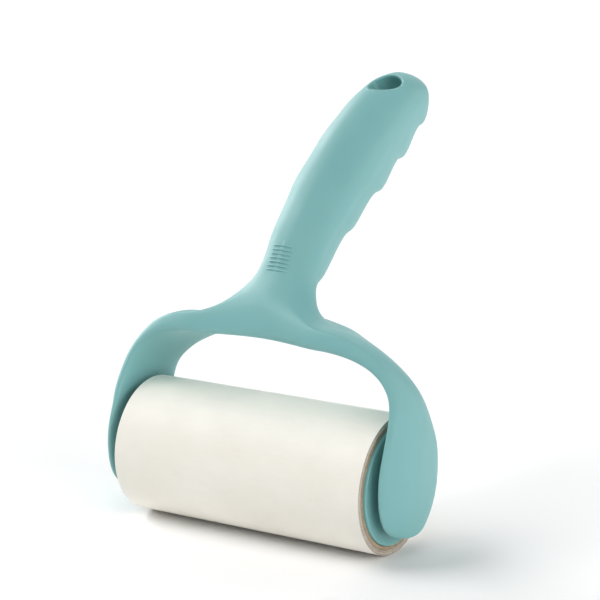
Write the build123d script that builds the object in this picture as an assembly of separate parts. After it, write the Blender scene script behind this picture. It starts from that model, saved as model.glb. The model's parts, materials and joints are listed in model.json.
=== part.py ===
from build123d import *
import os
from math import radians, sin

# Lint roller: a wide paper roll on two hub wheels, carried by a forked handle with a leaning grip.
# Layout is worked out with the roll's axis along X at (0, 0, 0), +Z up and the thumb side at -Y.
# The finished parts are then moved so that the origin is the middle of the hanging hole.

# Driving dimensions, millimetres.
ROLL_LENGTH = 100.0
ROLL_RADIUS = 24.3
SHEET_THICKNESS = 0.2
CORE_WALL = 1.4
CORE_BORE_RADIUS = 20.95
HUB_RADIUS = 20.85
HUB_FACE_X = 51.0
HUB_DEPTH = 12.8
HUB_RIM_WALL = 1.6
HUB_FACE_WALL = 2.4
HUB_BOSS_RADIUS = 7.0
HUB_RIBS = 6
HUB_RIB_WIDTH = 1.5
AXLE_RADIUS = 4.0
RUNNING_CLEARANCE = 0.05
AXLE_END_X = 38.0
PADDLE_BOSS_RADIUS = 8.0
PADDLE_BOSS_X = 51.6
PADDLE_INSIDE_X = 55.5
WASHER_RADIUS = 6.4
WASHER_THICKNESS = 1.0
SCREW_RADIUS = 1.25
SCREW_HEAD_RADIUS = 3.0
SCREW_HEAD_HEIGHT = 2.0
SCREW_LENGTH = 12.0
PILOT_HOLE_RADIUS = 1.3
SHELL_WALL = 2.4
JOINT_GAP = 0.04
HOLE_RADIUS = 6.0
HOLE_CENTRE = (0.0, 90.0, 113.0)
PEEL_GAP_DEGREES = 1.6
PEEL_ANGLE = 210.0
THUMB_RIBS = 7
THUMB_RIB_HEIGHT = 0.5
THUMB_RIB_DEPTH = 2.0
THUMB_RIB_LENGTH = 9.0
THUMB_RIB_WIDTH = 0.8
SCREW_TIP_GAP = 0.5
SLOT_DEPTH = 0.9
SLOT_WIDTH = 0.8
SLOT_REACH = 1.7
HUB_CHAMFER = 0.5
CUT_OVERRUN = 1.0

# Yoke stations from the middle to the bottom of the +X paddle. Each has its front ridge and its back
# edge (x, y, z), the thickness at both, and how far the outer face bulges between them.
YOKE_MIDDLE = ((0, -6.0, 54.6), (0, 14.5, 50.5), 7.0, 8.0, 0.0)
ARM_STATIONS = (
    ((22, -9.5, 55.2), (22, 14.5, 48.5), 8.0, 6.5, 1.0),
    ((31, -9.0, 53.4), (31, 15.0, 44.3), 6.8, 4.6, 1.8),
    ((40, -7.6, 49.6), (40, 15.3, 38.4), 5.0, 3.4, 2.2),
    ((48, -6.4, 43.8), (47.6, 15.6, 32.2), 3.6, 2.8, 2.4),
    ((53.6, -6.8, 37.0), (52.2, 16.0, 26.6), 3.0, 2.6, 2.6),
    ((56.6, -9.5, 29.0), (55.0, 16.4, 20.0), 2.8, 2.5, 2.8),
    ((57.3, -14.5, 17.5), (56.8, 17.2, 12.0), 2.8, 2.5, 3.0),
    ((57.3, -18.0, 6.5), (57.0, 17.6, 3.0), 2.8, 2.5, 3.0),
    ((57.2, -17.0, -6.0), (57.0, 15.9, -6.0), 2.8, 2.6, 2.6),
    ((57.0, -10.5, -14.0), (57.0, 10.2, -14.0), 2.6, 2.6, 1.8),
    ((57.0, -4.5, -16.4), (57.0, 4.3, -16.4), 2.6, 2.6, 1.2),
)
# Shares of the blade's width where its outer face bulges, and how much of the bulge each place gets.
BULGE_SHARES = (0.33, 0.7)
BULGE_AMOUNTS = (1.0, 0.9)

# Grip rings from inside the yoke to the tip: thumb-side point and finger-side point (y, z), then the
# half widths beside the thumb face, at the widest place and beside the finger grooves.
GRIP_ROOT = ((-3.0, 53.0), (10.0, 47.5), 16.0, 22.0, 15.0)
GRIP_RINGS = (
    ((-2.2, 60.5), (18.0, 56.5), 9.5, 15.0, 8.0),
    ((4.6, 67.0), (24.5, 60.0), 7.2, 11.0, 6.2),
    ((9.4, 74.0), (30.6, 62.2), 6.6, 10.6, 6.0),
    ((15.5, 81.8), (36.5, 67.8), 6.8, 10.9, 6.2),
    ((24.0, 90.0), (46.5, 72.4), 7.2, 11.8, 6.6),
    ((33.0, 97.6), (54.3, 78.8), 7.7, 12.7, 7.0),
    ((43.0, 104.6), (65.8, 83.0), 8.0, 13.3, 7.4),
    ((52.5, 110.4), (73.5, 89.8), 8.2, 13.5, 7.6),
    ((62.0, 115.5), (83.5, 93.4), 8.2, 13.5, 7.6),
    ((70.5, 119.3), (90.0, 99.4), 8.1, 13.2, 7.4),
    ((79.5, 122.6), (97.4, 102.6), 7.7, 12.5, 7.0),
    ((88.0, 124.8), (103.4, 107.6), 6.6, 10.8, 6.0),
    ((95.0, 124.6), (105.6, 112.6), 4.6, 7.4, 4.2),
)
GRIP_TIP = ((99.8, 122.2), (105.4, 115.8), 2.0, 3.4, 2.0)
THUMB_FACE_DEPTH = 0.10
WIDEST_DEPTH = 0.44
FINGER_FACE_DEPTH = 0.93
COVER_FIRST_RING = 1
COVER_RUN_OUT = (20.0, 4.0)
COVER_REGION_HALF = 40.0
CAVITY_RINGS = slice(2, 9)
PIN_RINGS = (3, 5, 7)
PIN_RADIUS = 1.6
POST_RADIUS = 3.4
POST_SHARES = (0.05, 0.55)
PIN_SHARES = (0.32, 0.34)
PIN_FOOT_GAP = 0.005
COVER_SHARE = 0.94
HOLE_RING = 10
HOLE_REACH = 30.0


def smooth_loop(points):
    """Closed smooth wire through the points."""
    return Wire([Edge.make_spline([Vector(*p) for p in points], periodic=True)])


def station_normal(before, station, after):
    """Direction square to the blade at a station, pointing out of the fork."""
    middle = [(Vector(*s[0]) + Vector(*s[1])) / 2 for s in (before, after)]
    width = Vector(*station[1]) - Vector(*station[0])
    return (middle[1] - middle[0]).cross(width).normalized()


def blade_wire(station, normal, side):
    """Section of the yoke's blade: bulged outer face, straight edges and straight inner face."""
    ridge, back = Vector(*station[0]), Vector(*station[1])
    front_thickness, back_thickness, bulge = station[2:]
    width = back - ridge
    bulges = [
        ridge + width * share + normal * bulge * amount
        for share, amount in zip(BULGE_SHARES, BULGE_AMOUNTS)
    ]
    outer = [ridge, *bulges, back]
    inner = [back - normal * back_thickness, ridge - normal * front_thickness]
    outer, inner = [[Vector(side * p.X, p.Y, p.Z) for p in row] for row in (outer, inner)]
    corners = [outer[-1], inner[0], inner[1], outer[0]]
    lines = [Edge.make_line(a, b) for a, b in zip(corners, corners[1:])]
    return Wire([Edge.make_spline(outer)] + lines)


def yoke_blade():
    """One blade from paddle to paddle through the middle of the yoke."""
    ridge, back = [(-x, y, z) for x, y, z in ARM_STATIONS[0][:2]]
    stations = ((ridge, back), YOKE_MIDDLE) + ARM_STATIONS
    right = []
    for i in range(1, len(stations)):
        after = stations[min(i + 1, len(stations) - 1)]
        right.append((stations[i], station_normal(stations[i - 1], stations[i], after)))
    left_wires = [blade_wire(s, n, -1) for s, n in right[:0:-1]]
    right_wires = [blade_wire(s, n, 1) for s, n in right]
    return Solid.make_loft(left_wires + right_wires)


def grip_ring(ring, inset=0.0):
    """The eight points of one ring round the grip, moved inwards by inset."""
    (ty, tz), (fy, fz), thumb_half, widest_half, finger_half = ring
    thumb, finger = Vector(0, ty, tz), Vector(0, fy, fz)
    depth = (finger - thumb).normalized()
    thumb, finger = thumb + depth * inset, finger - depth * inset
    width = finger - thumb
    halves = [half - inset for half in (thumb_half, widest_half, finger_half)]

    def place(x, share):
        return thumb + width * share + Vector(x, 0, 0)

    return [
        place(-halves[0], THUMB_FACE_DEPTH),
        place(0, 0),
        place(halves[0], THUMB_FACE_DEPTH),
        place(halves[1], WIDEST_DEPTH),
        place(halves[2], FINGER_FACE_DEPTH),
        place(0, 1),
        place(-halves[2], FINGER_FACE_DEPTH),
        place(-halves[1], WIDEST_DEPTH),
    ]


def grip_solid():
    """The outside of the whole grip, from inside the yoke to the tip."""
    rings = (GRIP_ROOT,) + GRIP_RINGS + (GRIP_TIP,)
    return Solid.make_loft([smooth_loop(grip_ring(ring)) for ring in rings])


def grip_cavity():
    """The space inside the grip's two shells."""
    return Solid.make_loft([smooth_loop(grip_ring(ring, SHELL_WALL)) for ring in GRIP_RINGS[CAVITY_RINGS]])


def cover_region():
    """Everything on the finger side of the parting line, as a slab that is wider than the grip."""
    rings = GRIP_RINGS[COVER_FIRST_RING:]
    parting = []
    for (ty, tz), (fy, fz), *_ in rings:
        parting.append((0, ty + (fy - ty) * WIDEST_DEPTH, tz + (fz - tz) * WIDEST_DEPTH))
    (y0, z0), (y1, z1) = rings[0][:2]
    start = parting[0]
    behind_start = (0, y1 + (y1 - y0), z1 + (z1 - z0))
    tip = parting[-1]
    beyond_tip = (0, tip[1] + COVER_RUN_OUT[0], tip[2] + COVER_RUN_OUT[1])
    behind_tip = (0, beyond_tip[1], behind_start[2])
    curve = Edge.make_spline([Vector(*p) for p in parting])
    corners = [tip, beyond_tip, behind_tip, behind_start, start]
    lines = [Edge.make_line(a, b) for a, b in zip(corners, corners[1:])]
    face = Face(Wire([curve] + lines)).moved(Location((-COVER_REGION_HALF, 0, 0)))
    return Solid.extrude(face, Vector(2 * COVER_REGION_HALF, 0, 0))


def x_cylinder(radius, x0, x1):
    """Cylinder on the roll's axis between two X places."""
    low, high = min(x0, x1), max(x0, x1)
    return Solid.make_cylinder(radius, high - low, Plane(origin=(low, 0, 0), z_dir=(1, 0, 0)))


def bore_along(ring, radius, share0, share1):
    """Cylinder across the grip at a ring, between two shares of its depth."""
    thumb, finger = Vector(0, *ring[0]), Vector(0, *ring[1])
    across = finger - thumb
    start = thumb + across * share0
    return Solid.make_cylinder(radius, across.length * (share1 - share0), Plane(origin=start, z_dir=across))


def biggest(shape):
    """The largest solid of a result, which drops any sliver that a cut leaves."""
    return max(shape.solids(), key=lambda solid: solid.volume)


def hanging_bore():
    """Cylinder that cuts the hanging hole through the tip, square to the grip."""
    thumb, finger = [Vector(0, *point) for point in GRIP_RINGS[HOLE_RING][:2]]
    across = (finger - thumb).normalized()
    start = Vector(*HOLE_CENTRE) - across * HOLE_REACH
    return Solid.make_cylinder(HOLE_RADIUS, 2 * HOLE_REACH, Plane(origin=start, z_dir=across))


def thumb_ribs():
    """Low bars across the front of the neck, where the thumb rests."""
    low, high = [Vector(0, *GRIP_RINGS[i][0]) for i in (1, 2)]
    step = (high - low) / (THUMB_RIBS - 1)
    outwards = Vector(1, 0, 0).cross(step).normalized()
    ribs = []
    for i in range(THUMB_RIBS):
        centre = low + step * i + outwards * (THUMB_RIB_HEIGHT - THUMB_RIB_DEPTH)
        plane = Plane(origin=centre, x_dir=(1, 0, 0), z_dir=outwards)
        corner = plane.from_local_coords(Vector(-THUMB_RIB_LENGTH / 2, -THUMB_RIB_WIDTH / 2, 0))
        place = Plane(origin=corner, x_dir=(1, 0, 0), z_dir=outwards)
        ribs.append(Solid.make_box(THUMB_RIB_LENGTH, THUMB_RIB_WIDTH, THUMB_RIB_DEPTH, place))
    return ribs


def handle_frame(grip, region, cavity):
    """Yoke, paddles, stub axles and the thumb side of the grip, moulded as one piece."""
    frame = yoke_blade().fuse(biggest(grip.cut(region)))
    frame = biggest(frame.cut(cavity)).fuse(*thumb_ribs())
    for side in (-1, 1):
        boss = x_cylinder(PADDLE_BOSS_RADIUS, side * PADDLE_BOSS_X, side * PADDLE_INSIDE_X)
        axle = x_cylinder(AXLE_RADIUS, side * AXLE_END_X, side * PADDLE_INSIDE_X)
        frame = frame.fuse(boss, axle)
    for side in (-1, 1):
        pilot = x_cylinder(PILOT_HOLE_RADIUS, side * AXLE_END_X, side * (AXLE_END_X + SCREW_LENGTH))
        frame = frame.cut(pilot)
    for i in PIN_RINGS:
        post = bore_along(GRIP_RINGS[i], POST_RADIUS, POST_SHARES[0], POST_SHARES[1])
        socket = bore_along(GRIP_RINGS[i], PIN_RADIUS + JOINT_GAP, PIN_SHARES[0], POST_SHARES[1])
        frame = frame.fuse(post).cut(socket)
    return biggest(frame.cut(hanging_bore()))


def grip_cover(grip, region, cavity):
    """Finger side of the grip with its four grooves and the pins that hold it to the frame."""
    cover = biggest(biggest(grip.intersect(region)).cut(cavity))
    for i in PIN_RINGS:
        foot = bore_along(GRIP_RINGS[i], POST_RADIUS, POST_SHARES[1] + PIN_FOOT_GAP, COVER_SHARE)
        pin = bore_along(GRIP_RINGS[i], PIN_RADIUS, PIN_SHARES[1], COVER_SHARE)
        cover = cover.fuse(foot, pin)
    return biggest(cover.cut(hanging_bore()))


def hub_wheel(side):
    """End plug of the roll: face disc, rim and boss joined by ribs, open towards the roll's middle."""
    face_in = HUB_FACE_X - HUB_FACE_WALL
    inner_end = HUB_FACE_X - HUB_DEPTH
    disc = x_cylinder(HUB_RADIUS, face_in, HUB_FACE_X)
    rim = x_cylinder(HUB_RADIUS, inner_end, face_in).cut(
        x_cylinder(HUB_RADIUS - HUB_RIM_WALL, inner_end, face_in)
    )
    hub = disc.fuse(rim, x_cylinder(HUB_BOSS_RADIUS, inner_end, face_in))
    rib_length = HUB_RADIUS - HUB_RIM_WALL / 2 - HUB_BOSS_RADIUS / 2
    for i in range(HUB_RIBS):
        rib = Solid.make_box(face_in - inner_end, HUB_RIB_WIDTH, rib_length)
        rib = rib.moved(Location((inner_end, -HUB_RIB_WIDTH / 2, HUB_BOSS_RADIUS / 2)))
        hub = hub.fuse(rib.rotate(Axis.X, i * 360 / HUB_RIBS))
    bore_radius = AXLE_RADIUS + RUNNING_CLEARANCE
    hub = hub.cut(x_cylinder(bore_radius, inner_end - CUT_OVERRUN, HUB_FACE_X + CUT_OVERRUN))
    circles = hub.edges().filter_by(GeomType.CIRCLE)
    rims = [edge for edge in circles if edge.radius > HUB_RADIUS - HUB_CHAMFER]
    outermost = max(rims, key=lambda edge: edge.center().X)
    hub = hub.chamfer(HUB_CHAMFER, None, [outermost])
    return hub if side > 0 else hub.mirror(Plane.YZ)


def hub_washer(side):
    """Washer between the stub axle's end and the screw's head."""
    end = side * AXLE_END_X
    plate = x_cylinder(WASHER_RADIUS, end, end - side * WASHER_THICKNESS)
    return plate.cut(x_cylinder(PILOT_HOLE_RADIUS, end, end - side * WASHER_THICKNESS))


def hub_screw(side):
    """Screw that holds the washer on the stub axle, with a cross slot in its head."""
    under_head = side * (AXLE_END_X - WASHER_THICKNESS)
    top = under_head - side * SCREW_HEAD_HEIGHT
    tip = side * (AXLE_END_X + SCREW_LENGTH - SCREW_TIP_GAP)
    screw = x_cylinder(SCREW_HEAD_RADIUS, under_head, top).fuse(x_cylinder(SCREW_RADIUS, under_head, tip))
    slot = Box(2 * SLOT_DEPTH, SLOT_WIDTH, 2 * SLOT_REACH).moved(Location((top, 0, 0)))
    return screw.cut(slot.solid(), slot.rotate(Axis.X, 90).solid())


def tube(inner, outer, half_length):
    """Tube round the roll's axis."""
    return x_cylinder(outer, -half_length, half_length).cut(x_cylinder(inner, -half_length, half_length))


def top_sheet():
    """The outermost sheet: one turn that stops short of itself at the peel edge."""
    half = ROLL_LENGTH / 2
    sheet = tube(ROLL_RADIUS - SHEET_THICKNESS, ROLL_RADIUS, half)
    gap = 2 * ROLL_RADIUS * sin(radians(PEEL_GAP_DEGREES / 2))
    slit = Box(ROLL_LENGTH + 2 * CUT_OVERRUN, gap, 2 * CUT_OVERRUN).moved(Location((0, 0, ROLL_RADIUS)))
    return biggest(sheet.cut(slit.rotate(Axis.X, PEEL_ANGLE).solid()))


def all_parts():
    """Every piece by its node name."""
    grip, region, cavity = grip_solid(), cover_region(), grip_cavity()
    core_radius = CORE_BORE_RADIUS + CORE_WALL
    half = ROLL_LENGTH / 2
    parts = {
        "handle_frame": handle_frame(grip, region, cavity),
        "grip_cover": grip_cover(grip, region, cavity),
        "core_tube": tube(CORE_BORE_RADIUS, core_radius, half),
        "paper_roll": tube(core_radius, ROLL_RADIUS - SHEET_THICKNESS, half),
        "top_sheet": top_sheet(),
    }
    for name, side in (("left", -1), ("right", 1)):
        parts[name + "_hub_wheel"] = hub_wheel(side)
        parts[name + "_hub_washer"] = hub_washer(side)
        parts[name + "_hub_screw"] = hub_screw(side)
    return parts


os.makedirs("parts", exist_ok=True)
to_origin = Location(Vector(*HOLE_CENTRE) * -1)
for node, solid in all_parts().items():
    export_step(solid.moved(to_origin), f"parts/{node}.step")
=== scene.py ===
import json
import math

import bmesh
import bpy
from mathutils import Matrix, Vector
from mathutils.bvhtree import BVHTree
from mathutils.kdtree import KDTree


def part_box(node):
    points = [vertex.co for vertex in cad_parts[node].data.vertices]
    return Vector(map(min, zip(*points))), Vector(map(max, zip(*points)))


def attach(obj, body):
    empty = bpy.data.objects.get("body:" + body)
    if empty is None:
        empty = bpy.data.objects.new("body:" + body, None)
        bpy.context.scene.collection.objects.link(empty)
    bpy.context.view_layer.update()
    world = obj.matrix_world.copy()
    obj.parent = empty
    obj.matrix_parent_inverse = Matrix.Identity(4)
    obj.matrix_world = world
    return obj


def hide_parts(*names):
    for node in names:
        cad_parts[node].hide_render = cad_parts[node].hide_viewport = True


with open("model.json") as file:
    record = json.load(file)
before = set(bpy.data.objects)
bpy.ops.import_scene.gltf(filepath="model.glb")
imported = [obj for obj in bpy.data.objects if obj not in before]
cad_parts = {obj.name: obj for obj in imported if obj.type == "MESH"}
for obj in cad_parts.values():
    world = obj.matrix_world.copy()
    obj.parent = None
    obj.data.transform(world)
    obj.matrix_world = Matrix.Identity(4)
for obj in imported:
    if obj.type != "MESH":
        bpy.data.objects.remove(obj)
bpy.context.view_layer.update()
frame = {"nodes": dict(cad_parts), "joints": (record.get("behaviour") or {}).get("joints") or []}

# Layout is in millimetres about the roll's axis: +X along the axis, -Y the thumb side, +Z up.
# placed() turns it into the frame's metres.
MM = 0.001
HINGE = next(j for j in frame["joints"] if j["name"] == "roll_spin")
ROLL_AXIS = Vector(HINGE["pos_m"])
ROLL_LOW, ROLL_HIGH = [Vector(corner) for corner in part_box("top_sheet")]
ROLL_HALF = (ROLL_HIGH.x - ROLL_LOW.x) / 2 / MM
ROLL_RADIUS = (ROLL_HIGH.z - ROLL_AXIS.z) / MM
CORE_RADIUS = (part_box("core_tube")[1][2] - ROLL_AXIS.z) / MM
HUB_RADIUS = (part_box("right_hub_wheel")[1][2] - ROLL_AXIS.z) / MM
HUB_FACE_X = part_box("right_hub_wheel")[1][0] / MM
HUB_INNER_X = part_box("right_hub_wheel")[0][0] / MM
CORE_CLEARANCE = 0.1
CORE_BORE = HUB_RADIUS + CORE_CLEARANCE

# Yoke stations from the middle to the bottom of the +X paddle: front ridge, back edge, thickness at
# both and the bulge of the outer face. Beside the neck the ridge is up to 1.4 mm off the CAD part's.
YOKE_MIDDLE = ((0, -6.0, 54.6), (0, 14.5, 50.5), 7.0, 8.0, 0.0)
ARM_STATIONS = (
    ((22, -8.6, 54.2), (22, 14.5, 48.5), 7.1, 6.5, 1.0),
    ((31, -8.8, 52.7), (31, 15.0, 44.3), 6.2, 4.6, 1.8),
    ((40, -7.6, 49.6), (40, 15.3, 38.4), 5.0, 3.4, 2.2),
    ((48, -6.4, 43.8), (47.6, 15.6, 32.2), 3.6, 2.8, 2.4),
    ((53.6, -6.8, 37.0), (52.2, 16.0, 26.6), 3.0, 2.6, 2.6),
    ((56.6, -9.5, 29.0), (55.0, 16.4, 20.0), 2.8, 2.5, 2.8),
    ((57.3, -14.5, 17.5), (56.8, 17.2, 12.0), 2.8, 2.5, 2.85),
    ((57.3, -18.0, 6.5), (57.0, 17.6, 3.0), 2.8, 2.5, 2.85),
    ((57.2, -17.0, -6.0), (57.0, 15.9, -6.0), 2.8, 2.6, 2.6),
    ((57.0, -10.5, -14.0), (57.0, 10.2, -14.0), 2.6, 2.6, 1.8),
    ((57.0, -4.5, -16.4), (57.0, 4.3, -16.4), 2.6, 2.6, 1.2),
)
# Shares of the blade's width where its outer face bulges, how much of the bulge each place gets, and
# the places of the inner face's points.
BULGE_SHARES = (0.3, 0.64)
BULGE_AMOUNTS = (1.0, 0.95)
INNER_SHARES = (1.0, 0.68, 0.33, 0.0)
# Grip rings from the neck to the tip: thumb-side and finger-side point (y, z), then the half widths
# beside the thumb face, at the widest place and beside the finger grooves.
GRIP_RINGS = (
    ((-2.2, 60.5), (18.0, 56.5), 9.5, 15.0, 8.0),
    ((4.6, 67.0), (24.5, 60.0), 7.2, 11.0, 6.2),
    ((9.4, 74.0), (30.6, 62.2), 6.6, 10.6, 6.0),
    ((15.5, 81.8), (36.5, 67.8), 6.8, 10.9, 6.2),
    ((24.0, 90.0), (46.5, 72.4), 7.2, 11.8, 6.6),
    ((33.0, 97.6), (54.3, 78.8), 7.7, 12.7, 7.0),
    ((43.0, 104.6), (65.8, 83.0), 8.0, 13.3, 7.4),
    ((52.5, 110.4), (73.5, 89.8), 8.2, 13.5, 7.6),
    ((62.0, 115.5), (83.5, 93.4), 8.2, 13.5, 7.6),
    ((70.5, 119.3), (90.0, 99.4), 8.1, 13.2, 7.4),
    ((79.5, 122.6), (97.4, 102.6), 7.7, 12.5, 7.0),
    ((88.0, 124.5), (103.4, 107.6), 6.6, 10.8, 6.0),
    ((95.0, 124.3), (105.6, 112.6), 4.6, 7.4, 4.2),
)
# Shares of a ring's depth at the thumb face's sides, the widest place and the finger face's sides.
THUMB_FACE_DEPTH = 0.10
WIDEST_DEPTH = 0.44
FINGER_FACE_DEPTH = 0.93
# Points round a ring. The finger side has some of them and the quads between them.
RING_POINTS = 8
FINGER_POINTS = slice(3, 8)
FINGER_SIDE = (3, 4, 5, 6)
# The grip's last point, from the middle of the last ring (y, z), and the ring where the cover starts.
TIP_DOME = (2.6, 0.9)
COVER_FIRST_RING = 1
# Quads that close a paddle's end, as places in its last ring.
PADDLE_END_QUADS = ((0, 1, 6, 7), (1, 2, 5, 6), (2, 3, 4, 5))
# How far the finger side of some rings is moved up the grip, and how much deeper the grooves are. The
# CAD part has neither, so its grooves are up to about 3 mm from these.
FINGER_SHIFTS = {3: 7.6, 4: 4.0, 5: 8.6, 6: 4.0, 7: 6.2, 8: 1.8, 9: 4.4, 10: 2.4}
GROOVES = (3, 5, 7, 9)
GROOVE_EXTRA_DEPTH = 0.3
NECK_BACK_RISE = 2.0
SEAM_CHAMFER = 0.08
# Creases, from 0 (smooth) to 1: the front ridge, the line near the back edge of each arm, the corners
# at the front of the neck and the ridges between the finger grooves.
RIDGE_STATIONS = 7
RIDGE_CREASE = 0.7
BACK_CREASE_STATIONS = slice(3, 7)
BACK_CREASE = 0.9
NECK_CREASE = 0.5
FINGER_RIDGES = (2, 4, 6, 8, 10)
FINGER_CREASE = 0.15
# The cage is moved in rounds until its smoothed surface meets the wanted points.
FITTING_ROUNDS = 20
FITTING_STEP = 0.8
# Faces that turn by more than this are shaded with a hard edge, on the handle and on turned pieces.
EDGE_ANGLE = 40.0
TURNED_EDGE_ANGLE = 35.0
HOLE_RING = 10
HOLE_RADIUS = 6.0
HOLE_LIP = 0.7
HOLE_REACH = 30.0
HOLE_SEGMENTS = 72
LIP_STEPS = 6
SMOOTH_LEVELS = 3

# Thumb ribs: bars between two heights of the neck's front (y, z).
RIB_COUNT = 7
RIB_LOW = (5.5, 68.4)
RIB_HIGH = (10.1, 76.2)
RIB_LENGTH = 8.4
RIB_WIDTH = 0.85
RIB_HEIGHT = 0.5
RIB_STEPS = 12
RIB_ARC_STEPS = 6
RIB_ROOT = 0.4
RIB_RAY_START = 10.0
# The ribs taper at their ends: how sharply, and the least share of width and of height.
RIB_TAPER_POWER = 6
RIB_END_WIDTH = 0.3
RIB_END_HEIGHT = 0.1

# Bearings: the boss and stub axle on each paddle, and the hub wheel's walls.
BOSS_RADIUS = 8.0
BOSS_X = 51.6
AXLE_RADIUS = 4.0
AXLE_END_X = 38.0
AXLE_STEPS = 64
PADDLE_INSIDE_X = 55.5
PILOT_RADIUS = 1.3
PILOT_DEPTH = 12.0
HUB_BORE = 4.05
HUB_BOSS_RADIUS = 7.0
HUB_RIM_WALL = 1.6
HUB_FACE_WALL = 2.4
HUB_EDGE = 0.7
HUB_RIBS = 6
HUB_RIB_WIDTH = 1.5

# Turned shapes. They stop this far from the axis, which leaves a channel too thin to see.
AXIS_RADIUS = 0.001
ROUND_STEPS = 160
MERGE_DISTANCE = 1e-7
SHORTEST_EDGE = 1e-8
# A box's quads, as places in its eight corners.
BOX_QUADS = ((0, 1, 3, 2), (4, 5, 7, 6), (0, 1, 5, 4), (2, 3, 7, 6), (0, 2, 6, 4), (1, 3, 7, 5))

# Core: how far its ends lie inside the roll's, and how much they are rounded.
CORE_END_INSET = 0.05
CORE_END_ROUND = 0.25

# Paper: the layers seen at the roll's ends, how far they stagger, the depth of the groove between two
# of them in staggers, and the share of a layer's thickness that slopes into it.
SHEET = 0.2
PAPER_GAP = 0.01
LAYERS = 9
LAYER_STAGGER = 0.1
LAYER_WAVE = 2.4
LAYER_GROOVE = 1.8
LAYER_SLOPE = 0.2
PEEL_GAP_DEGREES = 1.6
PEEL_ANGLE = 210.0
SHEET_STEPS = 180
SHEET_COLUMNS = 24
# Depth of the top sheet's dips, and two crossing waves: radians per millimetre along and waves round.
SHEET_DIP = 0.05
DIP_WAVES = ((0.11, 5), (0.07, -3))
# A face that looks along the roll's axis by more than this is one of the roll's ends.
END_FACING = 0.35

# Colours, sRGB 0-255: the tones of each material and what shows over them.
TEAL = ((121, 176, 176), (127, 182, 182))
# Paler teal laid on sharp edges and ridges: partly rubbed edges, partly a painted highlight along the
# creases.
TEAL_EDGE_RUB_AND_HIGHLIGHT = (176, 214, 214)
HUB_TEAL = ((117, 173, 172), (123, 179, 178))
HUB_TEAL_EDGE_RUB_AND_HIGHLIGHT = (170, 210, 210)
PAPER = ((239, 235, 225), (248, 245, 236))
PAPER_FIBRE = (214, 209, 194)
SHEET_EDGE = ((142, 124, 108), (172, 155, 139))
SHEET_EDGE_SPECK = (212, 200, 186)
BOARD = ((150, 128, 104), (176, 154, 129), (196, 177, 152))
BOARD_SEAM = (112, 94, 76)
STEEL = ((168, 168, 164), (206, 206, 202))
FLOOR = ((250, 250, 250), (254, 254, 254))

# Camera, fitted to the roll's two ends: angles in degrees, distances in millimetres.
CAMERA_AZIMUTH = 32.45
CAMERA_ELEVATION = 14.52
CAMERA_ROLL = -1.2
CAMERA_DISTANCE = 787.9
CAMERA_RIGHT = -10.22
CAMERA_UP = -56.93
CAMERA_LENS = 134.76
SENSOR_WIDTH = 36.0
CLIP_START = 0.01

# Studio: floor in millimetres. Lights are very soft suns: name, azimuth, elevation, spread and strength.
FLOOR_HALF = 4000.0
FLOOR_GAP = 0.05
WORLD_STRENGTH = 0.1
LIGHTS = (
    ("key", -66, 50, 40, 1.7),
    ("left", -110, 18, 40, 1.7),
    ("front", 32, 50, 40, 0.6),
    ("right", 72, 18, 40, 1.2),
    ("back_right", 140, 18, 40, 0.8),
    ("back_left", -160, 18, 40, 0.5),
)


def placed(x, y, z):
    """A layout point in the frame, in metres."""
    return ROLL_AXIS + Vector((x, y, z)) * MM


def mesh_object(name, points, faces, smooth=True):
    """A mesh object from layout points in millimetres."""
    mesh = bpy.data.meshes.new(name)
    mesh.from_pydata([placed(*p) for p in points], [], faces)
    mesh.validate()
    mesh.update()
    piece = bpy.data.objects.new(name, mesh)
    bpy.context.scene.collection.objects.link(piece)
    if smooth:
        mesh.shade_smooth()
    else:
        mesh.shade_flat()
    return piece


def outward_normals(piece):
    """Turns every face of a closed mesh outwards."""
    work = bmesh.new()
    work.from_mesh(piece.data)
    bmesh.ops.recalc_face_normals(work, faces=work.faces)
    work.to_mesh(piece.data)
    work.free()


def apply_modifiers(piece):
    """Puts a piece's modifiers into its mesh."""
    graph = bpy.context.evaluated_depsgraph_get()
    mesh = bpy.data.meshes.new_from_object(piece.evaluated_get(graph))
    piece.modifiers.clear()
    piece.data = mesh


def boolean(piece, other, operation):
    """Cuts a piece with another one, or joins them."""
    cut = piece.modifiers.new("cut", "BOOLEAN")
    cut.operation = operation
    cut.solver = "EXACT"
    cut.object = other
    apply_modifiers(piece)


def smooth_by_angle(piece, degrees):
    """Smooth shading, with a hard edge wherever the faces turn by more than the angle."""
    piece.data.shade_smooth()
    piece.data.set_sharp_from_angle(angle=math.radians(degrees))


# ---- handle: one control cage, smoothed, bored, split into its two shells ----


def station_normals():
    """Direction square to the blade at the middle and at each arm station, pointing out of the fork."""
    stations = (YOKE_MIDDLE,) + ARM_STATIONS
    centres = [(Vector(s[0]) + Vector(s[1])) / 2 for s in stations]
    mirrored = Vector((-centres[1].x, centres[1].y, centres[1].z))
    centres = [mirrored] + centres + [centres[-1]]
    normals = []
    for i, station in enumerate(stations):
        width = Vector(station[1]) - Vector(station[0])
        normals.append((centres[i + 2] - centres[i]).cross(width).normalized())
    return normals


def blade_ring(station, normal):
    """Eight points round the blade: four on the outer face, then four on the inner face."""
    ridge, back = Vector(station[0]), Vector(station[1])
    front_thickness, back_thickness, bulge = station[2:]
    width = back - ridge

    def inner(share):
        thickness = front_thickness + (back_thickness - front_thickness) * share
        return ridge + width * share - normal * thickness

    outer = [
        ridge + width * share + normal * bulge * amount
        for share, amount in zip(BULGE_SHARES, BULGE_AMOUNTS)
    ]
    return [ridge, *outer, back] + [inner(share) for share in INNER_SHARES]


def finger_side_move(number, depth):
    """How far a ring's finger side is moved: up the grip, and inwards if the ring is a groove."""
    if number not in FINGER_SHIFTS:
        return Vector()
    below, above = [Vector((0, *GRIP_RINGS[number + step][1])) for step in (-1, 1)]
    move = (above - below).normalized() * FINGER_SHIFTS[number]
    if number in GROOVES:
        move -= depth * GROOVE_EXTRA_DEPTH
    return move


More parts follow.
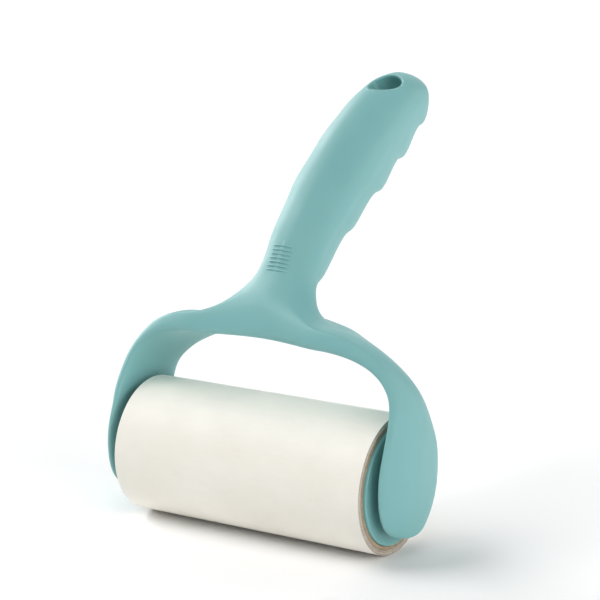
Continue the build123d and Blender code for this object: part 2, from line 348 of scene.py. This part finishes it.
def grip_ring(number):
    """Eight points round the grip."""
    (ty, tz), (fy, fz), thumb_half, widest_half, finger_half = GRIP_RINGS[number]
    thumb, width = Vector((0, ty, tz)), Vector((0, fy - ty, fz - tz))
    finger_move = finger_side_move(number, width.normalized())

    def place(x, share, move=Vector()):
        return thumb + width * share + Vector((x, 0, 0)) + move

    return [
        place(-thumb_half, THUMB_FACE_DEPTH),
        place(0, 0),
        place(thumb_half, THUMB_FACE_DEPTH),
        place(widest_half, WIDEST_DEPTH),
        place(finger_half, FINGER_FACE_DEPTH, finger_move),
        place(0, 1, finger_move),
        place(-finger_half, FINGER_FACE_DEPTH, finger_move),
        place(-widest_half, WIDEST_DEPTH),
    ]


def handle_cage():
    """Control cage of the whole handle: points, quads, the cover's quads and its creased edges."""
    points, faces, creases = [], [], {}

    def add(p):
        points.append(Vector(p))
        return len(points) - 1

    def crease(row, weight):
        for pair in zip(row, row[1:]):
            creases[tuple(sorted(pair))] = weight

    normals = station_normals()
    right = [[add(p) for p in blade_ring(s, n)] for s, n in zip(ARM_STATIONS, normals[1:])]
    left = [[add((-points[i].x, points[i].y, points[i].z)) for i in row] for row in right]
    ring = blade_ring(YOKE_MIDDLE, normals[0])
    neck_back = ring[3] + Vector((0, 0, NECK_BACK_RISE))
    middle = [add(ring[0]), None, add(neck_back)] + [add(p) for p in ring[3:]]
    rows = left[::-1] + [middle] + right
    centre = len(left)
    for k in range(len(rows) - 1):
        for j in range(RING_POINTS):
            under_neck = j in (0, 1) and k in (centre - 1, centre)
            if not under_neck:
                n = (j + 1) % RING_POINTS
                faces.append((rows[k][j], rows[k][n], rows[k + 1][n], rows[k + 1][j]))
    for row, turn in ((rows[0], -1), (rows[-1], 1)):
        for a, b, c, d in PADDLE_END_QUADS:
            faces.append(tuple([row[a], row[b], row[c], row[d]][::turn]))
    west, east = rows[centre - 1], rows[centre + 1]
    neck = [west[0], middle[0], east[0], east[1], east[2], middle[2], west[2], west[1]]
    rings = [neck] + [[add(p) for p in grip_ring(i)] for i in range(len(GRIP_RINGS))]
    cover = []
    for k, (low, high) in enumerate(zip(rings, rings[1:])):
        for j in range(RING_POINTS):
            n = (j + 1) % RING_POINTS
            if k > COVER_FIRST_RING and j in FINGER_SIDE:
                cover.append(len(faces))
            faces.append((low[j], low[n], high[n], high[j]))
    last = rings[-1]
    dome = sum((points[i] for i in last), Vector()) / RING_POINTS + Vector((0, *TIP_DOME))
    top = add(dome)
    for j in range(0, RING_POINTS, 2):
        if j in FINGER_SIDE:
            cover.append(len(faces))
        faces.append((last[j], last[j + 1], top, last[j - 1]))

    for arm in (left, right):
        crease([row[0] for row in arm[:RIDGE_STATIONS]], RIDGE_CREASE)
        crease([row[2] for row in arm[BACK_CREASE_STATIONS]], BACK_CREASE)
    for arm, corner in ((left, 0), (right, 2)):
        crease([arm[0][0]] + [rings[k][corner] for k in (1, 2)], NECK_CREASE)
    for k in FINGER_RIDGES:
        crease(rings[k + 1][FINGER_POINTS], FINGER_CREASE)
    return points, faces, cover, creases


def through_points(cage):
    """Moves a subdivided cage out until its surface passes through the points it was given."""
    goal = [v.co.copy() for v in cage.data.vertices]
    for _ in range(FITTING_ROUNDS):
        graph = bpy.context.evaluated_depsgraph_get()
        reached = [v.co.copy() for v in cage.evaluated_get(graph).data.vertices[:len(goal)]]
        for vertex, wanted, found in zip(cage.data.vertices, goal, reached):
            vertex.co += (wanted - found) * FITTING_STEP
        cage.data.update()
        cage.update_tag()


def handle_skin():
    """The handle's closed, smooth outside, with the cover's faces in material slot 1."""
    points, faces, cover, creases = handle_cage()
    skin = mesh_object("handle_frame_skin", points, faces)
    for index in cover:
        skin.data.polygons[index].material_index = 1
    weights = skin.data.attributes.new("crease_edge", "FLOAT", "EDGE")
    for edge in skin.data.edges:
        weights.data[edge.index].value = creases.get(tuple(sorted(edge.vertices)), 0.0)
    outward_normals(skin)
    smooth = skin.modifiers.new("smooth", "SUBSURF")
    smooth.levels = SMOOTH_LEVELS
    smooth.render_levels = SMOOTH_LEVELS
    through_points(skin)
    apply_modifiers(skin)
    return skin


def shell(skin, name, slot):
    """One side of the skin as a closed shell. Straight strips across the grip close it."""
    piece = mesh_object(name, [], [])
    work = bmesh.new()
    work.from_mesh(skin.data)
    bmesh.ops.delete(work, geom=[f for f in work.faces if f.material_index != slot], context="FACES")
    rim = [edge for edge in work.edges if edge.is_boundary]
    rim_points = list({vertex for edge in rim for vertex in edge.verts})
    search = KDTree(len(rim_points))
    for i, vertex in enumerate(rim_points):
        search.insert(vertex.co, i)
    search.balance()

    def twin(vertex):
        return rim_points[search.find(Vector((-vertex.co.x, vertex.co.y, vertex.co.z)))[1]]

    for edge in rim:
        a, b = edge.verts
        if a.co.x + b.co.x > 0:
            corners = dict.fromkeys((a, b, twin(b), twin(a)))
            work.faces.new(corners)
    bmesh.ops.recalc_face_normals(work, faces=work.faces)
    bmesh.ops.bevel(work, geom=rim, offset=SEAM_CHAMFER * MM, segments=1, affect="EDGES")
    for face in work.faces:
        face.material_index = 0
        face.smooth = True
    work.to_mesh(piece.data)
    work.free()
    return piece


def surface_tree(piece):
    """Search tree of a piece's mesh, in the frame's metres."""
    work = bmesh.new()
    work.from_mesh(piece.data)
    tree = BVHTree.FromBMesh(work)
    work.free()
    return tree


def lip_profile(height):
    """Quarter round from the skin at a height down into the bore: (distance, radius) pairs."""
    profile = []
    for step in range(LIP_STEPS + 1):
        turn = math.pi / 2 * step / LIP_STEPS
        distance = height - HOLE_LIP * (1 - math.cos(turn))
        radius = HOLE_RADIUS + HOLE_LIP * (1 - math.sin(turn))
        profile.append((distance, radius))
    return profile


def hole_cutter(handle):
    """A round bore across the tip whose two mouths flare into a rounded lip along the skin."""
    (ty, tz), (fy, fz) = GRIP_RINGS[HOLE_RING][:2]
    across = Vector((0, fy - ty, fz - tz)).normalized()
    beside = Vector((1, 0, 0))
    along = across.cross(beside)
    centre = -ROLL_AXIS / MM
    tree = surface_tree(handle)
    outside = HOLE_RADIUS + HOLE_LIP
    points, faces = [], []
    for k in range(HOLE_SEGMENTS):
        angle = 2 * math.pi * k / HOLE_SEGMENTS
        spoke = beside * math.cos(angle) + along * math.sin(angle)
        column = []
        for way in (-1, 1):
            start = placed(*(centre + spoke * outside + across * way * HOLE_REACH))
            height = HOLE_REACH - tree.ray_cast(start, across * -way)[3] / MM
            side = [(HOLE_REACH, outside)] + lip_profile(height)
            side = [(way * depth, radius) for depth, radius in side]
            column += side if way < 0 else side[::-1]
        points += [centre + spoke * radius + across * depth for depth, radius in column]
    rows = len(points) // HOLE_SEGMENTS
    for k in range(HOLE_SEGMENTS):
        n = (k + 1) % HOLE_SEGMENTS
        faces += [(k * rows + i, k * rows + i + 1, n * rows + i + 1, n * rows + i) for i in range(rows - 1)]
    for i in (0, rows - 1):
        faces.append([k * rows + i for k in range(HOLE_SEGMENTS)])
    cutter = mesh_object("hole_cutter", points, faces)
    outward_normals(cutter)
    return cutter


def lathe(name, profile, steps=ROUND_STEPS, side=1):
    """Closed ring or plug: a loop of (x, radius) corners turned about the roll's axis."""
    points, faces = [], []
    count = len(profile)
    for k in range(steps):
        angle = 2 * math.pi * k / steps
        points += [(side * x, radius * math.cos(angle), radius * math.sin(angle)) for x, radius in profile]
    for k in range(steps):
        n = (k + 1) % steps
        faces += [(k * count + i, k * count + (i + 1) % count, n * count + (i + 1) % count, n * count + i)
                  for i in range(count)]
    piece = mesh_object(name, points, faces)
    work = bmesh.new()
    work.from_mesh(piece.data)
    bmesh.ops.remove_doubles(work, verts=work.verts, dist=MERGE_DISTANCE)
    bmesh.ops.dissolve_degenerate(work, edges=work.edges, dist=SHORTEST_EDGE)
    bmesh.ops.recalc_face_normals(work, faces=work.faces)
    work.to_mesh(piece.data)
    work.free()
    return piece


def rounded(corners, radius, steps=4):
    """A loop of (x, radius) corners with each one rounded off."""
    loop = []
    count = len(corners)
    for i in range(count):
        here, before, after = [Vector(corners[j % count]) for j in (i, i - 1, i + 1)]
        back, forth = (before - here), (after - here)
        reach = min(radius, back.length / 2, forth.length / 2)
        a, b = here + back.normalized() * reach, here + forth.normalized() * reach
        for step in range(steps + 1):
            t = step / steps
            loop.append(tuple(a * (1 - t) ** 2 + here * 2 * t * (1 - t) + b * t * t))
    return loop


def thumb_ribs(handle):
    """Low half-round bars across the neck, laid on the handle's skin."""
    tree = surface_tree(handle)
    low, high = Vector((0, *RIB_LOW)), Vector((0, *RIB_HIGH))
    up = (high - low).normalized()
    out = Vector((1, 0, 0)).cross(up)
    points, faces = [], []
    arc = [math.pi * k / RIB_ARC_STEPS for k in range(RIB_ARC_STEPS + 1)]
    for i in range(RIB_COUNT):
        centre = low.lerp(high, i / (RIB_COUNT - 1))
        first = len(points)
        for k in range(RIB_STEPS + 1):
            across = 2 * k / RIB_STEPS - 1
            taper = math.sqrt(max(0.0, 1 - abs(across) ** RIB_TAPER_POWER))
            wide, tall = max(taper, RIB_END_WIDTH), max(taper, RIB_END_HEIGHT)
            start = placed(*(centre + Vector((across * RIB_LENGTH / 2, 0, 0)) + out * RIB_RAY_START))
            skin = (tree.ray_cast(start, -out)[0] - ROLL_AXIS) / MM
            for angle in arc:
                side = up * math.cos(angle) * RIB_WIDTH / 2 * wide
                points.append(skin + side + out * math.sin(angle) * RIB_HEIGHT * tall)
            points.append(skin - up * RIB_WIDTH / 2 * wide - out * RIB_ROOT)
            points.append(skin + up * RIB_WIDTH / 2 * wide - out * RIB_ROOT)
        count = len(arc) + 2
        for k in range(RIB_STEPS):
            a, b = first + k * count, first + (k + 1) * count
            faces += [(a + j, a + (j + 1) % count, b + (j + 1) % count, b + j) for j in range(count)]
        faces += [list(range(first, first + count)), list(range(len(points) - count, len(points)))]
    ribs = mesh_object("thumb_ribs", points, faces)
    outward_normals(ribs)
    return ribs


def stub_axle(side):
    """Boss and stub axle on the inside of a paddle, with the screw's pilot hole."""
    corners = [
        (PADDLE_INSIDE_X, BOSS_RADIUS),
        (BOSS_X, BOSS_RADIUS),
        (BOSS_X, AXLE_RADIUS),
        (AXLE_END_X, AXLE_RADIUS),
        (AXLE_END_X, PILOT_RADIUS),
        (AXLE_END_X + PILOT_DEPTH, PILOT_RADIUS),
        (AXLE_END_X + PILOT_DEPTH, AXIS_RADIUS),
        (PADDLE_INSIDE_X, AXIS_RADIUS),
    ]
    return lathe("stub_axle", corners, steps=AXLE_STEPS, side=side)


def make_handle():
    """The two visible shells of the handle."""
    skin = handle_skin()
    ribs, hole = thumb_ribs(skin), hole_cutter(skin)
    frame_shell = shell(skin, "handle_frame_shell", 0)
    cover_shell = shell(skin, "grip_cover_shell", 1)
    axles = [stub_axle(-1), stub_axle(1)]
    for piece in (frame_shell, cover_shell):
        boolean(piece, hole, "DIFFERENCE")
    for tool in (ribs, *axles):
        boolean(frame_shell, tool, "UNION")
    for tool in (skin, hole, ribs, *axles):
        bpy.data.objects.remove(tool)
    for piece in (frame_shell, cover_shell):
        smooth_by_angle(piece, EDGE_ANGLE)
    return frame_shell, cover_shell


def make_hub(name, side):
    """Hub wheel: face disc, rim and boss in one turned shape, joined by ribs."""
    face_in = HUB_FACE_X - HUB_FACE_WALL
    rim_in = HUB_RADIUS - HUB_RIM_WALL
    corners = [
        (HUB_FACE_X, HUB_BORE),
        (HUB_FACE_X, HUB_RADIUS),
        (HUB_INNER_X, HUB_RADIUS),
        (HUB_INNER_X, rim_in),
        (face_in, rim_in),
        (face_in, HUB_BOSS_RADIUS),
        (HUB_INNER_X, HUB_BOSS_RADIUS),
        (HUB_INNER_X, HUB_BORE),
    ]
    hub = lathe(name, rounded(corners, HUB_EDGE), side=side)
    ribs = []
    low, high = (HUB_BORE + HUB_BOSS_RADIUS) / 2, HUB_RADIUS - HUB_RIM_WALL / 2
    for i in range(HUB_RIBS):
        turn = Matrix.Rotation(2 * math.pi * i / HUB_RIBS, 3, "X")
        box = []
        for x in (HUB_INNER_X + HUB_EDGE, face_in + HUB_EDGE):
            for y in (-HUB_RIB_WIDTH / 2, HUB_RIB_WIDTH / 2):
                box += [turn @ Vector((side * x, y, z)) for z in (low, high)]
        ribs.append(box)
    points = [p for box in ribs for p in box]
    faces = []
    for i in range(HUB_RIBS):
        faces += [tuple(len(ribs[i]) * i + j for j in quad) for quad in BOX_QUADS]
    rib_piece = mesh_object("hub_ribs", points, faces, smooth=False)
    outward_normals(rib_piece)
    boolean(hub, rib_piece, "UNION")
    bpy.data.objects.remove(rib_piece)
    smooth_by_angle(hub, TURNED_EDGE_ANGLE)
    return hub


def make_core():
    """Cardboard tube with slightly rounded, rubbed ends."""
    half = ROLL_HALF - CORE_END_INSET
    corners = [(half, CORE_BORE), (half, CORE_RADIUS), (-half, CORE_RADIUS), (-half, CORE_BORE)]
    core = lathe("core_tube_skin", rounded(corners, CORE_END_ROUND))
    smooth_by_angle(core, TURNED_EDGE_ANGLE)
    return core


def make_paper():
    """Wound sheets, whose edges stagger a little at both ends."""
    inner, outer = CORE_RADIUS + PAPER_GAP, ROLL_RADIUS - SHEET - PAPER_GAP
    step = (outer - inner) / LAYERS
    ends = []
    for side in (1, -1):
        edge = []
        for i in range(LAYERS):
            stagger = LAYER_STAGGER * (0.5 + 0.5 * math.sin(LAYER_WAVE * i + side))
            x = side * (ROLL_HALF - stagger)
            low, high = inner + step * i, inner + step * (i + 1)
            groove = side * (ROLL_HALF - LAYER_STAGGER * LAYER_GROOVE)
            edge += [(groove, low), (x, low + step * LAYER_SLOPE), (x, high - step * LAYER_SLOPE)]
        edge.append((groove, outer))
        ends += edge if side > 0 else edge[::-1]
    paper = lathe("paper_roll_skin", ends)
    smooth_by_angle(paper, TURNED_EDGE_ANGLE)
    return paper


def sheet_dip(x, angle):
    """How far the top sheet lies under its full radius at one place."""
    first, second = [math.sin(along * x + waves * angle) for along, waves in DIP_WAVES]
    return SHEET_DIP * (0.5 + 0.5 * first * second)


def make_top_sheet():
    """The outermost sheet: almost one turn, ending at a peel edge, with shallow dips."""
    inner, outer = ROLL_RADIUS - SHEET, ROLL_RADIUS
    start = math.radians(PEEL_ANGLE + PEEL_GAP_DEGREES / 2)
    turn = 2 * math.pi - math.radians(PEEL_GAP_DEGREES)
    across = [ROLL_HALF * (2 * k / SHEET_COLUMNS - 1) for k in range(SHEET_COLUMNS + 1)]
    points, faces = [], []
    for k in range(SHEET_STEPS + 1):
        share = k / SHEET_STEPS
        angle = start + turn * share
        direction = Vector((0, -math.sin(angle), math.cos(angle)))
        for radius in (inner, outer):
            for x in across:
                points.append(direction * (radius - sheet_dip(x, angle)) + Vector((x, 0, 0)))
    row = len(across)
    for k in range(SHEET_STEPS):
        a, b = 2 * row * k, 2 * row * (k + 1)
        for i in range(row - 1):
            faces.append((a + i, a + i + 1, b + i + 1, b + i))
            faces.append((a + row + i, b + row + i, b + row + i + 1, a + row + i + 1))
        for i in (0, row - 1):
            faces.append((a + i, b + i, b + row + i, a + row + i))
    for a in (0, 2 * row * SHEET_STEPS):
        faces += [(a + i, a + i + 1, a + row + i + 1, a + row + i) for i in range(row - 1)]
    sheet = mesh_object("top_sheet_skin", points, faces)
    outward_normals(sheet)
    smooth_by_angle(sheet, TURNED_EDGE_ANGLE)
    return sheet


# ---- materials ----


def srgb(red, green, blue):
    """An sRGB colour of 0-255 values as linear RGBA."""
    linear = []
    for value in (red, green, blue):
        share = value / 255
        linear.append(share / 12.92 if share <= 0.04045 else ((share + 0.055) / 1.055) ** 2.4)
    return (*linear, 1.0)


class Surface:
    """A material with one Principled shader and short calls for the nodes that feed it."""

    def __init__(self, name, roughness, **values):
        self.material = bpy.data.materials.new(name)
        self.material.use_nodes = True
        self.nodes = self.material.node_tree.nodes
        self.links = self.material.node_tree.links
        self.shader = self.nodes["Principled BSDF"]
        self.shader.inputs["Roughness"].default_value = roughness
        for socket, value in values.items():
            self.shader.inputs[socket.replace("_", " ")].default_value = value
        self.place = self.nodes.new("ShaderNodeTexCoord").outputs["Object"]

    def noise(self, scale, detail=2.0, stretch=(1, 1, 1), roughness=0.5):
        """Noise in object space, so many blobs per metre along each axis."""
        mapping = self.nodes.new("ShaderNodeMapping")
        mapping.inputs["Scale"].default_value = stretch
        self.links.new(self.place, mapping.inputs["Vector"])
        texture = self.nodes.new("ShaderNodeTexNoise")
        texture.inputs["Scale"].default_value = scale
        texture.inputs["Detail"].default_value = detail
        texture.inputs["Roughness"].default_value = roughness
        self.links.new(mapping.outputs["Vector"], texture.inputs["Vector"])
        return texture.outputs["Fac"]

    def ramp(self, value, places, colours):
        """Colours along a value, each sRGB colour at its place."""
        stops = [(place, srgb(*colour)) for place, colour in zip(places, colours)]
        ramp = self.nodes.new("ShaderNodeValToRGB")
        elements = ramp.color_ramp.elements
        elements[0].position, elements[0].color = stops[0]
        elements[1].position, elements[1].color = stops[-1]
        for place, colour in stops[1:-1]:
            elements.new(place).color = colour
        self.links.new(value, ramp.inputs["Fac"])
        return ramp.outputs["Color"]

    def spread(self, value, low, high, source=(0.3, 0.7)):
        """A value stretched to a range."""
        spread = self.nodes.new("ShaderNodeMapRange")
        spread.inputs["From Min"].default_value, spread.inputs["From Max"].default_value = source
        spread.inputs["To Min"].default_value = low
        spread.inputs["To Max"].default_value = high
        self.links.new(value, spread.inputs["Value"])
        return spread.outputs["Result"]

    def mix(self, share, first, second):
        """Two colours mixed by a value or a number."""
        mix = self.nodes.new("ShaderNodeMix")
        mix.data_type = "RGBA"
        for socket, given in ((mix.inputs[0], share), (mix.inputs[6], first), (mix.inputs[7], second)):
            if isinstance(given, bpy.types.NodeSocket):
                self.links.new(given, socket)
            else:
                socket.default_value = given
        return mix.outputs[2]

    def bump(self, height, distance, strength=1.0, normal=None):
        """Relief of a height in metres."""
        bump = self.nodes.new("ShaderNodeBump")
        bump.inputs["Distance"].default_value = distance
        bump.inputs["Strength"].default_value = strength
        self.links.new(height, bump.inputs["Height"])
        if normal:
            self.links.new(normal, bump.inputs["Normal"])
        return bump.outputs["Normal"]

    def feed(self, socket, value):
        """Links a value to the shader."""
        self.links.new(value, self.shader.inputs[socket])


def plastic(name, body, edge_rub_and_highlight):
    """Moulded plastic: faint flow variation, satin patches, fine grain, and paler edges and ridges, partly
    rubbed and partly a painted highlight.
    """
    look = Surface(
        name,
        roughness=0.5,
        IOR=1.49,
        Subsurface_Weight=0.12,
        Subsurface_Radius=(0.002, 0.003, 0.003),
        Subsurface_Scale=1.0,
    )
    flow = look.ramp(look.noise(scale=28, detail=3, stretch=(1, 1, 0.5)), (0.3, 0.7), body)
    # Sharp edges and ridges turn paler: partly rubbed plastic, partly a painted highlight.
    pointed = look.nodes.new("ShaderNodeNewGeometry").outputs["Pointiness"]
    rub_and_highlight_mask = look.spread(pointed, low=0.0, high=0.35, source=(0.52, 0.62))
    look.feed("Base Color", look.mix(rub_and_highlight_mask, flow, srgb(*edge_rub_and_highlight)))
    look.feed("Roughness", look.spread(look.noise(scale=60, detail=4), low=0.45, high=0.56))
    grain = look.bump(look.noise(scale=2600, detail=2), distance=0.00002, strength=0.5)
    swell = look.noise(scale=90, detail=1)
    look.feed("Normal", look.bump(swell, distance=0.0002, strength=0.12, normal=grain))
    return look.material


def paper_material():
    """Coated sticky paper: fine fibres, faint cloudy tone and a soft sheen."""
    look = Surface("sticky_paper", roughness=0.5, IOR=1.45)
    cloud = look.ramp(look.noise(scale=45, detail=4), (0.25, 0.75), PAPER)
    fibre = look.noise(scale=900, detail=5, stretch=(0.25, 1, 1), roughness=0.7)
    fibre_share = look.spread(fibre, low=0.0, high=0.10)
    look.feed("Base Color", look.mix(fibre_share, cloud, srgb(*PAPER_FIBRE)))
    look.feed("Roughness", look.spread(look.noise(scale=120, detail=3), low=0.42, high=0.58))
    coarse = look.bump(look.noise(scale=35, detail=2), distance=0.0006, strength=0.10)
    look.feed("Normal", look.bump(fibre, distance=0.00003, strength=0.6, normal=coarse))
    return look.material


def edge_material():
    """Cut edges of many sheets seen end-on: fine rings in grey-brown tones."""
    look = Surface("sheet_edges", roughness=0.85, IOR=1.45)
    speck = look.noise(scale=1500, detail=3)
    tone = look.ramp(look.noise(scale=380, detail=2, stretch=(0.1, 1, 1)), (0.3, 0.7), SHEET_EDGE)
    speck_share = look.spread(speck, low=0.0, high=0.35)
    look.feed("Base Color", look.mix(speck_share, tone, srgb(*SHEET_EDGE_SPECK)))
    look.feed("Normal", look.bump(speck, distance=0.00008, strength=0.5))
    return look.material


def cardboard_material():
    """Grey-brown board wound in a spiral, with fibres and specks."""
    look = Surface("cardboard", roughness=0.9, IOR=1.4)
    fibre = look.noise(scale=700, detail=6, stretch=(0.3, 1, 1), roughness=0.7)
    tone = look.ramp(fibre, (0.3, 0.55, 0.75), BOARD)
    winding = look.nodes.new("ShaderNodeTexWave")
    winding.wave_type = "BANDS"
    winding.inputs["Scale"].default_value = 18
    winding.inputs["Distortion"].default_value = 0.5
    look.links.new(look.place, winding.inputs["Vector"])
    seam = look.spread(winding.outputs["Fac"], low=0.0, high=0.25, source=(0.9, 1.0))
    look.feed("Base Color", look.mix(seam, tone, srgb(*BOARD_SEAM)))
    look.feed("Roughness", look.spread(fibre, low=0.82, high=0.95))
    look.feed("Normal", look.bump(fibre, distance=0.0001, strength=0.7))
    return look.material


def steel_material():
    """Zinc-plated steel with fine turned marks."""
    look = Surface("plated_steel", roughness=0.32, Metallic=1.0)
    marks = look.noise(scale=1200, detail=3, stretch=(6, 1, 1))
    look.feed("Base Color", look.ramp(marks, (0.3, 0.7), STEEL))
    look.feed("Roughness", look.spread(marks, low=0.25, high=0.42))
    look.feed("Normal", look.bump(marks, distance=0.00003, strength=0.5))
    return look.material


def floor_material():
    """Matt white board with the faintest mottling."""
    look = Surface("studio_floor", roughness=0.9)
    look.feed("Base Color", look.ramp(look.noise(scale=3, detail=2), (0.3, 0.7), FLOOR))
    return look.material


def paint(piece, *materials):
    """Gives a piece its materials in place of what it has."""
    piece.data.materials.clear()
    for material in materials:
        piece.data.materials.append(material)


def paint_ends(piece, slot):
    """Uses another material slot on the faces that look along the roll's axis."""
    for face in piece.data.polygons:
        if abs(face.normal.x) > END_FACING:
            face.material_index = slot


# ---- stage ----


def make_floor():
    """A wide plain floor just under the roll."""
    half = FLOOR_HALF
    level = -ROLL_RADIUS - FLOOR_GAP
    corners = [(-half, -half, level), (half, -half, level), (half, half, level), (-half, half, level)]
    floor = mesh_object("floor", corners, [(0, 1, 2, 3)], smooth=False)
    paint(floor, floor_material())


def make_light(name, azimuth, elevation, spread, strength):
    """A very soft sun that shines on the object from an azimuth and an elevation."""
    data = bpy.data.lights.new(name, "SUN")
    data.energy = strength
    data.angle = math.radians(spread)
    light = bpy.data.objects.new(name, data)
    bpy.context.scene.collection.objects.link(light)
    a, e = math.radians(azimuth), math.radians(elevation)
    away = Vector((math.sin(a) * math.cos(e), -math.cos(a) * math.cos(e), math.sin(e)))
    light.rotation_mode = "QUATERNION"
    light.rotation_quaternion = away.to_track_quat("Z", "Y")


def make_world():
    """Even pale surroundings."""
    world = bpy.data.worlds.new("studio")
    world.use_nodes = True
    background = world.node_tree.nodes["Background"]
    background.inputs["Color"].default_value = (1, 1, 1, 1)
    background.inputs["Strength"].default_value = WORLD_STRENGTH
    bpy.context.scene.world = world


def make_camera():
    """The camera at its fitted place."""
    azimuth, elevation, roll = [math.radians(v) for v in (CAMERA_AZIMUTH, CAMERA_ELEVATION, CAMERA_ROLL)]
    back = Vector((
        math.sin(azimuth) * math.cos(elevation),
        -math.cos(azimuth) * math.cos(elevation),
        math.sin(elevation),
    ))
    level_right = Vector((math.cos(azimuth), math.sin(azimuth), 0))
    level_up = back.cross(level_right)
    right = level_right * math.cos(roll) + level_up * math.sin(roll)
    up = back.cross(right)
    data = bpy.data.cameras.new("camera")
    data.lens = CAMERA_LENS
    data.sensor_width = SENSOR_WIDTH
    data.clip_start = CLIP_START
    camera = bpy.data.objects.new("camera", data)
    bpy.context.scene.collection.objects.link(camera)
    spot = placed(*(back * CAMERA_DISTANCE - right * CAMERA_RIGHT - up * CAMERA_UP))
    camera.matrix_world = Matrix.Translation(spot) @ Matrix((right, up, back)).transposed().to_4x4()
    bpy.context.scene.camera = camera


# ---- put together ----


def ride_on(piece, body, slot, *nodes):
    """Fixes a piece to its body and hides the CAD nodes it stands for; the slot argument is not used."""
    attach(piece, body)
    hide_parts(*nodes)


def main():
    """Builds every piece, gives it its material and sets up the studio."""
    make_camera()
    teal = plastic("teal_plastic", TEAL, TEAL_EDGE_RUB_AND_HIGHLIGHT)
    hub_teal = plastic("hub_plastic", HUB_TEAL, HUB_TEAL_EDGE_RUB_AND_HIGHLIGHT)
    paper, edges, board, steel = paper_material(), edge_material(), cardboard_material(), steel_material()

    handle, cover = make_handle()
    for piece, node in ((handle, "handle_frame"), (cover, "grip_cover")):
        paint(piece, teal)
        ride_on(piece, "handle", "handle_plastic", node)
    for name, side in (("left", -1), ("right", 1)):
        hub = make_hub(name + "_hub_skin", side)
        paint(hub, hub_teal)
        ride_on(hub, "roll", "hub_plastic", name + "_hub_wheel")
        for part in ("_hub_washer", "_hub_screw"):
            paint(frame["nodes"][name + part], steel)
    core = make_core()
    paint(core, board)
    ride_on(core, "roll", "cardboard", "core_tube")
    wound = make_paper()
    paint(wound, paper, edges)
    paint_ends(wound, 1)
    ride_on(wound, "roll", "paper", "paper_roll")
    sheet = make_top_sheet()
    paint(sheet, paper, edges)
    paint_ends(sheet, 1)
    ride_on(sheet, "roll", "paper", "top_sheet")

    make_floor()
    make_world()
    for light in LIGHTS:
        make_light(*light)
    bpy.context.scene.view_settings.view_transform = "Standard"


main()
